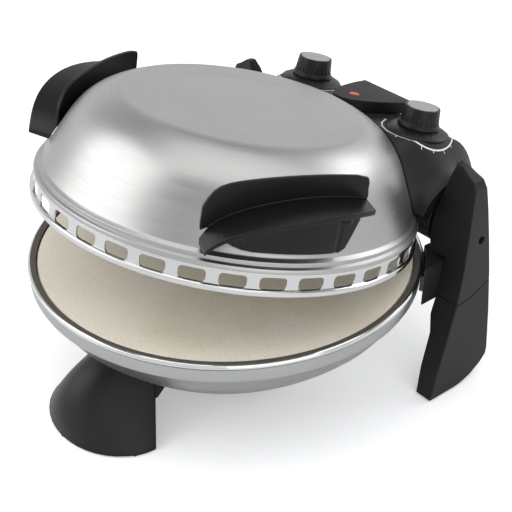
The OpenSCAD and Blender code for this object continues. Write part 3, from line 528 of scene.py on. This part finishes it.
def makeWorld():
    world = bpy.data.worlds.new("studio")
    scene.world = world
    world.use_nodes = True
    tree = world.node_tree
    tree.nodes.clear()
    path = addNode(tree, "ShaderNodeLightPath", -800)
    clear = addNode(tree, "ShaderNodeMath", -600, operation="MAXIMUM")
    tree.links.new(path.outputs["Is Camera Ray"], clear.inputs[0])
    tree.links.new(path.outputs["Is Transmission Ray"], clear.inputs[1])
    seen = addNode(tree, "ShaderNodeMath", -400, operation="MAXIMUM")
    tree.links.new(clear.outputs[0], seen.inputs[0])
    tree.links.new(path.outputs["Is Glossy Ray"], seen.inputs[1])
    light = addNode(tree, "ShaderNodeBackground", -200, 100)
    light.inputs["Color"].default_value = stageValues["worldColour"]
    light.inputs["Strength"].default_value = stageValues["worldLight"]
    white = addNode(tree, "ShaderNodeBackground", -200, -100)
    white.inputs["Strength"].default_value = stageValues["white"]
    # White down to the horizon, and a plain grey ceiling for the metal to show
    coord = addNode(tree, "ShaderNodeTexCoord", -1400, -300)
    split = addNode(tree, "ShaderNodeSeparateXYZ", -1200, -300)
    tree.links.new(coord.outputs["Generated"], split.inputs[0])
    shade = mapRange(tree, split.outputs["Z"], 1.0, stageValues["ceiling"],
                     stageValues["wallTop"], stageValues["ceilingFrom"], -1000, -300)
    ceiling = addNode(tree, "ShaderNodeMix", -600, -300, data_type="RGBA")
    tree.links.new(path.outputs["Is Glossy Ray"], ceiling.inputs["Factor"])
    ceiling.inputs["A"].default_value = (1, 1, 1, 1)
    tree.links.new(shade, ceiling.inputs["B"])
    tree.links.new(ceiling.outputs["Result"], white.inputs["Color"])
    mix = addNode(tree, "ShaderNodeMixShader", 0)
    out = addNode(tree, "ShaderNodeOutputWorld", 200)
    tree.links.new(seen.outputs[0], mix.inputs["Fac"])
    tree.links.new(light.outputs[0], mix.inputs[1])
    tree.links.new(white.outputs[0], mix.inputs[2])
    tree.links.new(mix.outputs[0], out.inputs["Surface"])


lampValues = {
    "keyLeft": {"place": (-1.1, -1.5, 1.5), "size": (2.2, 2.0), "power": 30},
    "topSoft": {"place": (0.2, 0.1, 1.9), "size": (2.0, 2.0), "power": 16},
    "rightFill": {"place": (2.0, -0.5, 0.9), "size": (2.0, 2.0), "power": 11},
    "backRim": {"place": (0.4, 1.8, 1.2), "size": (1.4, 0.8), "power": 10}}
lampTarget = Vector((0, 0, 0.12))


def makeLamps():
    for name, values in lampValues.items():
        lamp = bpy.data.lights.new(name, "AREA")
        lamp.shape = "RECTANGLE"
        lamp.size, lamp.size_y = values["size"]
        lamp.energy = values["power"]
        holder = bpy.data.objects.new(name, lamp)
        scene.collection.objects.link(holder)
        holder.location = values["place"]
        aim = lampTarget - Vector(values["place"])
        holder.rotation_euler = aim.to_track_quat("-Z", "Y").to_euler()


cameraValues = {"place": (0.6126, -0.4813555, 0.6042), "azimuth": 50.539, "elevation": 32.827,
                "roll": 0.5935, "lens": 77.34, "sensor": 36.0, "nearest": 0.05}


def makeCamera():
    azimuth, elevation, roll = (math.radians(cameraValues[k])
                                for k in ("azimuth", "elevation", "roll"))
    back = Vector((math.sin(azimuth) * math.cos(elevation),
                   -math.cos(azimuth) * math.cos(elevation), math.sin(elevation)))
    right = Vector((math.cos(azimuth), math.sin(azimuth), 0))
    up = back.cross(right)
    rolledRight = right * math.cos(roll) + up * math.sin(roll)
    rolledUp = up * math.cos(roll) - right * math.sin(roll)
    data = bpy.data.cameras.new("photoCamera")
    data.lens = cameraValues["lens"]
    data.sensor_width = cameraValues["sensor"]
    data.sensor_fit = "HORIZONTAL"
    data.clip_start = cameraValues["nearest"]
    camera = bpy.data.objects.new("photoCamera", data)
    scene.collection.objects.link(camera)
    turn = Matrix((rolledRight, rolledUp, back)).transposed().to_4x4()
    camera.matrix_world = Matrix.Translation(cameraValues["place"]) @ turn
    scene.camera = camera


makeStage()
makeWorld()
makeLamps()
makeCamera()
scene.view_settings.view_transform = "Standard"
print("stage, lamps and camera ready")
